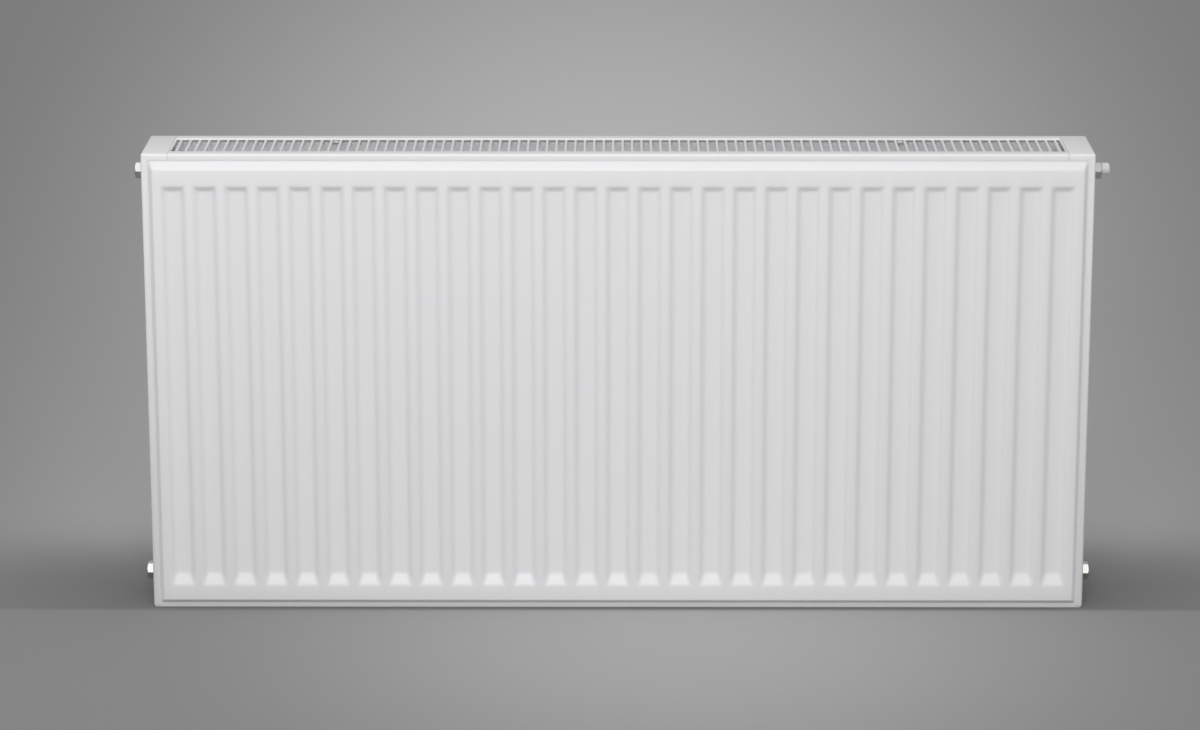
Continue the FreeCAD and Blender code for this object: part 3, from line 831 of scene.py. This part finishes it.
# a lug stands nine and a half flutes out from the middle
hangingLug = {"sheetMm": 2.0, "widthMm": 30.0, "footMm": 18.0, "stepMm": 6.0, "webMm": 28.0, "bendMm": 2.0,
              "bendSegments": 5, "cornerMm": 4.0, "edgeMm": 0.4, "placeMm": 950 / 3, "faceMm": 51.0,
              "upperFootMm": 430.0, "lowerFootMm": 70.0,
              "dimpleMm": 2.6, "dimpleEdgeMm": 0.4, "dimpleDepthMm": 0.25, "dimpleAsideMm": 7.0,
              "dimpleUpMm": 9.0, "dimpleSides": 24, "cutterPastMm": 1.0}
grilleClip = {"sheetMm": 1.0, "widthMm": 5.0, "armMm": 13.0, "footMm": 2.8, "bendMm": 0.9,
              "bendSegments": 4, "cornerMm": 0.0, "edgeMm": 0.2, "placeMm": 300.0}


def bentStrip(line, middle, values):
    # a folded strip about x = middle: the line of (y, z) points is the middle of its sheet
    width = values["widthMm"] * mm
    halves = (-width / 2, width / 2)
    verts, faces = gridMesh(halves, range(len(line)), lambda x, k: (middle + x, line[k].y, line[k].z))
    strip = makeObject("strip", verts, faces)
    if values["cornerMm"]:
        work = bmesh.new()
        work.from_mesh(strip.data)
        ends = [v for v in work.verts if len(v.link_edges) == 2]
        bmesh.ops.bevel(work, geom=ends, offset=values["cornerMm"] * mm, segments=values["bendSegments"],
                        profile=0.5, affect="VERTICES")
        work.to_mesh(strip.data)
        work.free()
    solidify(strip, values["sheetMm"] * mm, offset=0)
    plainMesh(strip)
    roundEdges(strip, values["edgeMm"] * mm, degrees=50)
    return strip


def joinStrips(name, strips, slot, node):
    verts, faces = [], []
    for strip in strips:
        takeMesh(verts, faces, strip)
    piece = makeObject(name, verts, faces)
    smoothByAngle(piece, degrees=30)
    finishPiece(piece, "radiator", slot, node)


def buildLugs(name, node, footHeight, way, values):
    # welded foot, step out from the wall sheet and web, with two spot-weld dimples in each foot
    face, out = values["faceMm"], values["faceMm"] + values["stepMm"]
    levels = [0, values["footMm"], values["footMm"] + values["stepMm"],
              values["footMm"] + values["stepMm"] + values["webMm"]]
    points = [(0, y * mm, (footHeight + way * level) * mm)
              for y, level in zip((face, face, out, out), levels)]
    line = roundedLine(points, values["bendMm"] * mm, values["bendSegments"])
    radius, depth, aside = values["dimpleMm"], values["dimpleDepthMm"], values["dimpleAsideMm"]
    dimple, dimpleFaces = turnedMesh([(0, circle(radius - values["dimpleEdgeMm"])),
                                      (depth + values["cutterPastMm"], circle(radius))],
                                     values["dimpleSides"])
    strips = []
    for side in (-1, 1):
        strip = bentStrip(line, side * values["placeMm"] * mm, values)
        marks = []
        for across in (-aside, aside):
            spot = [((side * values["placeMm"] + across) * mm + y,
                     (face + values["sheetMm"] / 2 - depth) * mm + x,
                     (footHeight + way * values["dimpleUpMm"]) * mm + z) for x, y, z in dimple]
            marks.append(makeObject("mark", spot, [f[::-1] for f in dimpleFaces]))
        cutWith(strip, marks)
        strips.append(strip)
    joinStrips(name, strips, "white_enamel", node)


def buildClips(name, node, facing, values):
    low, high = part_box(node)
    half = values["sheetMm"] / 2 * mm
    outer = (low.y if facing < 0 else high.y) - facing * half
    inner = outer - facing * values["armMm"] * mm
    middle = low.z + values["footMm"] * mm
    points = [(0, outer, low.z), (0, outer, middle), (0, inner, middle), (0, inner, high.z)]
    line = roundedLine(points, values["bendMm"] * mm, values["bendSegments"])
    strips = [bentStrip(line, side * values["placeMm"] * mm, values) for side in (-1, 1)]
    joinStrips(name, strips, "white_plastic", node)


buildLugs("upperHangingLugs", "upper_hanging_lugs", hangingLug["upperFootMm"], -1, hangingLug)
buildLugs("lowerHangingLugs", "lower_hanging_lugs", hangingLug["lowerFootMm"], 1, hangingLug)
buildClips("frontGrilleClips", "front_grille_clips", -1, grilleClip)
buildClips("rearGrilleClips", "rear_grille_clips", 1, grilleClip)
print("lugs and clips made")


# floor, lamps and the light of the room, in metres and watts

# a pool is a pool of light painted into the floor's colour: its middle and its reach, across and in depth,
# and any other pair is where a painted tone starts and where it is full
# the near, middle and far colours paint the floor lighter from near to far
floorPaint = {"nearColour": "#848484", "middleColour": "#8B8B8B", "farColour": "#A4A4A4",
              "paintedLightColour": "#DEDEDE", "paintedShadeColour": "#747474", "roughness": 0.9,
              "nearDepths": (-0.45, 0.0), "farDepths": (0.2, 8.0), "fanDepth": 8.7,
              "rearPool": (0.0, 1.3, 0.114, 5.9), "rearPoolEdge": (0.0, 0.3), "rearPoolShare": 1.0,
              "frontPool": (0.01, -0.05, 0.073, 0.75), "frontPoolEdge": (-0.02, -0.06),
              "frontPoolShare": 0.35, "shadeEnds": (1.0, 0.4), "shadeBehind": (0.22, 0.02),
              "shadeBefore": (-0.06, -0.048), "left": -9.0, "right": 9.0, "front": -6.0, "rear": 9.0}
lamps = {"keySoftbox": {"place": (-0.1, -0.62, 0.71), "aim": (0, 0, 0.27), "size": (2.2, 0.6), "power": 2.95},
         "fillSoftbox": {"place": (-0.1, -2.9, 1.5), "aim": (0, 0, 0.3), "size": (1.0, 0.5), "power": 26.0}}
roomLight = {"colour": "#FFFFFF", "level": 0.24, "overhead": 0.76}


def mattFloor(values):
    # a matt studio floor with light and shade painted into its colour: a soft pool of painted light behind
    # the radiator and one in front of it, and painted shade along its foot
    material, tree, output, place = newMaterial("mattGreyFloor")
    soft = {"interpolation_type": "SMOOTHSTEP"}
    apart = addNode(tree, "ShaderNodeSeparateXYZ", {}, [(0, place, "Object")])
    # the painted pools of light fan out with depth: across is X over the distance from a point in front
    depth = addNode(tree, "ShaderNodeMath", {"operation": "ADD", 1: values["fanDepth"]}, [(0, apart, "Y")])
    fan = addNode(tree, "ShaderNodeMath", {"operation": "DIVIDE"}, [(0, apart, "X"), (1, depth, "Value")])
    spread = addNode(tree, "ShaderNodeCombineXYZ", {}, [("X", fan, "Value"), ("Y", apart, "Y")])
    pools = []
    # each pool paints a soft round patch of light into the floor, faded out at an edge in depth
    for pool in ("rearPool", "frontPool"):
        middleX, middleY, reachX, reachY = values[pool]
        start, end = values[pool + "Edge"]
        centred = addNode(tree, "ShaderNodeMapping",
                          {"Location": (-middleX / reachX, -middleY / reachY, 0),
                           "Scale": (1 / reachX, 1 / reachY, 1)}, [("Vector", spread, "Vector")])
        ball = addNode(tree, "ShaderNodeTexGradient", {"gradient_type": "SPHERICAL"},
                       [("Vector", centred, "Vector")])
        glow = addNode(tree, "ShaderNodeMapRange", {**soft, "To Max": values[pool + "Share"]},
                       [("Value", ball, "Fac")])
        edge = addNode(tree, "ShaderNodeMapRange", {**soft, "From Min": start, "From Max": end},
                       [("Value", apart, "Y")])
        pools.append(addNode(tree, "ShaderNodeMath", {"operation": "MULTIPLY"},
                             [(0, glow, "Result"), (1, edge, "Result")]))
    paintedPools = addNode(tree, "ShaderNodeMath", {"operation": "ADD"},
                     [(0, pools[0], "Value"), (1, pools[1], "Value")])
    # painted shade along the radiator's foot: it fades out past the radiator's ends, and in depth behind and
    # in front of it
    aside = addNode(tree, "ShaderNodeMath", {"operation": "ABSOLUTE"}, [(0, apart, "X")])
    ends, behind, before, near, away = (
        addNode(tree, "ShaderNodeMapRange", {**style, "From Min": values[span][0],
                                             "From Max": values[span][1]}, [("Value", source, out)])
        for span, style, source, out in (
            ("shadeEnds", soft, aside, "Value"), ("shadeBehind", soft, apart, "Y"),
            ("shadeBefore", soft, apart, "Y"), ("nearDepths", {}, apart, "Y"),
            ("farDepths", {}, apart, "Y")))
    along = addNode(tree, "ShaderNodeMath", {"operation": "MULTIPLY"},
                    [(0, ends, "Result"), (1, behind, "Result")])
    foot = addNode(tree, "ShaderNodeMath", {"operation": "MULTIPLY"},
                   [(0, along, "Value"), (1, before, "Result")])
    # each tone is laid over the one before it: the floor painted lighter from near to far, then the painted
    # pools of light, then the painted shade at the foot
    tone = addNode(tree, "ShaderNodeMix", {"data_type": "RGBA", 6: linearColour(values["nearColour"]),
                                           7: linearColour(values["middleColour"])}, [(0, near, "Result")])
    for colour, share, out in (("farColour", away, "Result"), ("paintedLightColour", paintedPools, "Value"),
                               ("paintedShadeColour", foot, "Value")):
        tone = addNode(tree, "ShaderNodeMix", {"data_type": "RGBA", 7: linearColour(values[colour])},
                       [(0, share, out), (6, tone, 2)])
    shader = addNode(tree, "ShaderNodeBsdfPrincipled", {"Roughness": values["roughness"]},
                     [("Base Color", tone, 2)])
    tree.links.new(shader.outputs[0], output.inputs[0])
    return material


def layFloor(values):
    left, right, front, rear = (values[k] for k in ("left", "right", "front", "rear"))
    corners = [(left, front, 0), (right, front, 0), (right, rear, 0), (left, rear, 0)]
    floor = makeObject("studioFloor", corners, [(0, 1, 2, 3)])
    floor.data.materials.append(mattFloor(values))


def addLamp(name, values):
    data = bpy.data.lights.new(name, "AREA")
    data.shape = "RECTANGLE"
    data.size, data.size_y = values["size"]
    data.energy = values["power"]
    lamp = bpy.data.objects.new(name, data)
    lamp.location = values["place"]
    way = Vector(values["aim"]) - Vector(values["place"])
    lamp.rotation_euler = way.to_track_quat("-Z", "Y").to_euler()
    lamp.visible_camera = False
    scene.collection.objects.link(lamp)


def lightRoom(values):
    # the white room's light, stronger overhead than along the floor
    world = bpy.data.worlds.new("studioRoom")
    scene.world = world
    world.use_nodes = True
    tree = world.node_tree
    tree.nodes.clear()
    place = addNode(tree, "ShaderNodeTexCoord")
    apart = addNode(tree, "ShaderNodeSeparateXYZ", {}, [(0, place, "Generated")])
    strength = addNode(tree, "ShaderNodeMapRange", {"To Min": values["level"], "To Max": values["overhead"]},
                       [("Value", apart, "Z")])
    sky = addNode(tree, "ShaderNodeBackground", {"Color": linearColour(values["colour"])},
                  [("Strength", strength, "Result")])
    addNode(tree, "ShaderNodeOutputWorld", {}, [("Surface", sky, "Background")])


layFloor(floorPaint)
for name, values in lamps.items():
    addLamp(name, values)
lightRoom(roomLight)
print("studio lit")
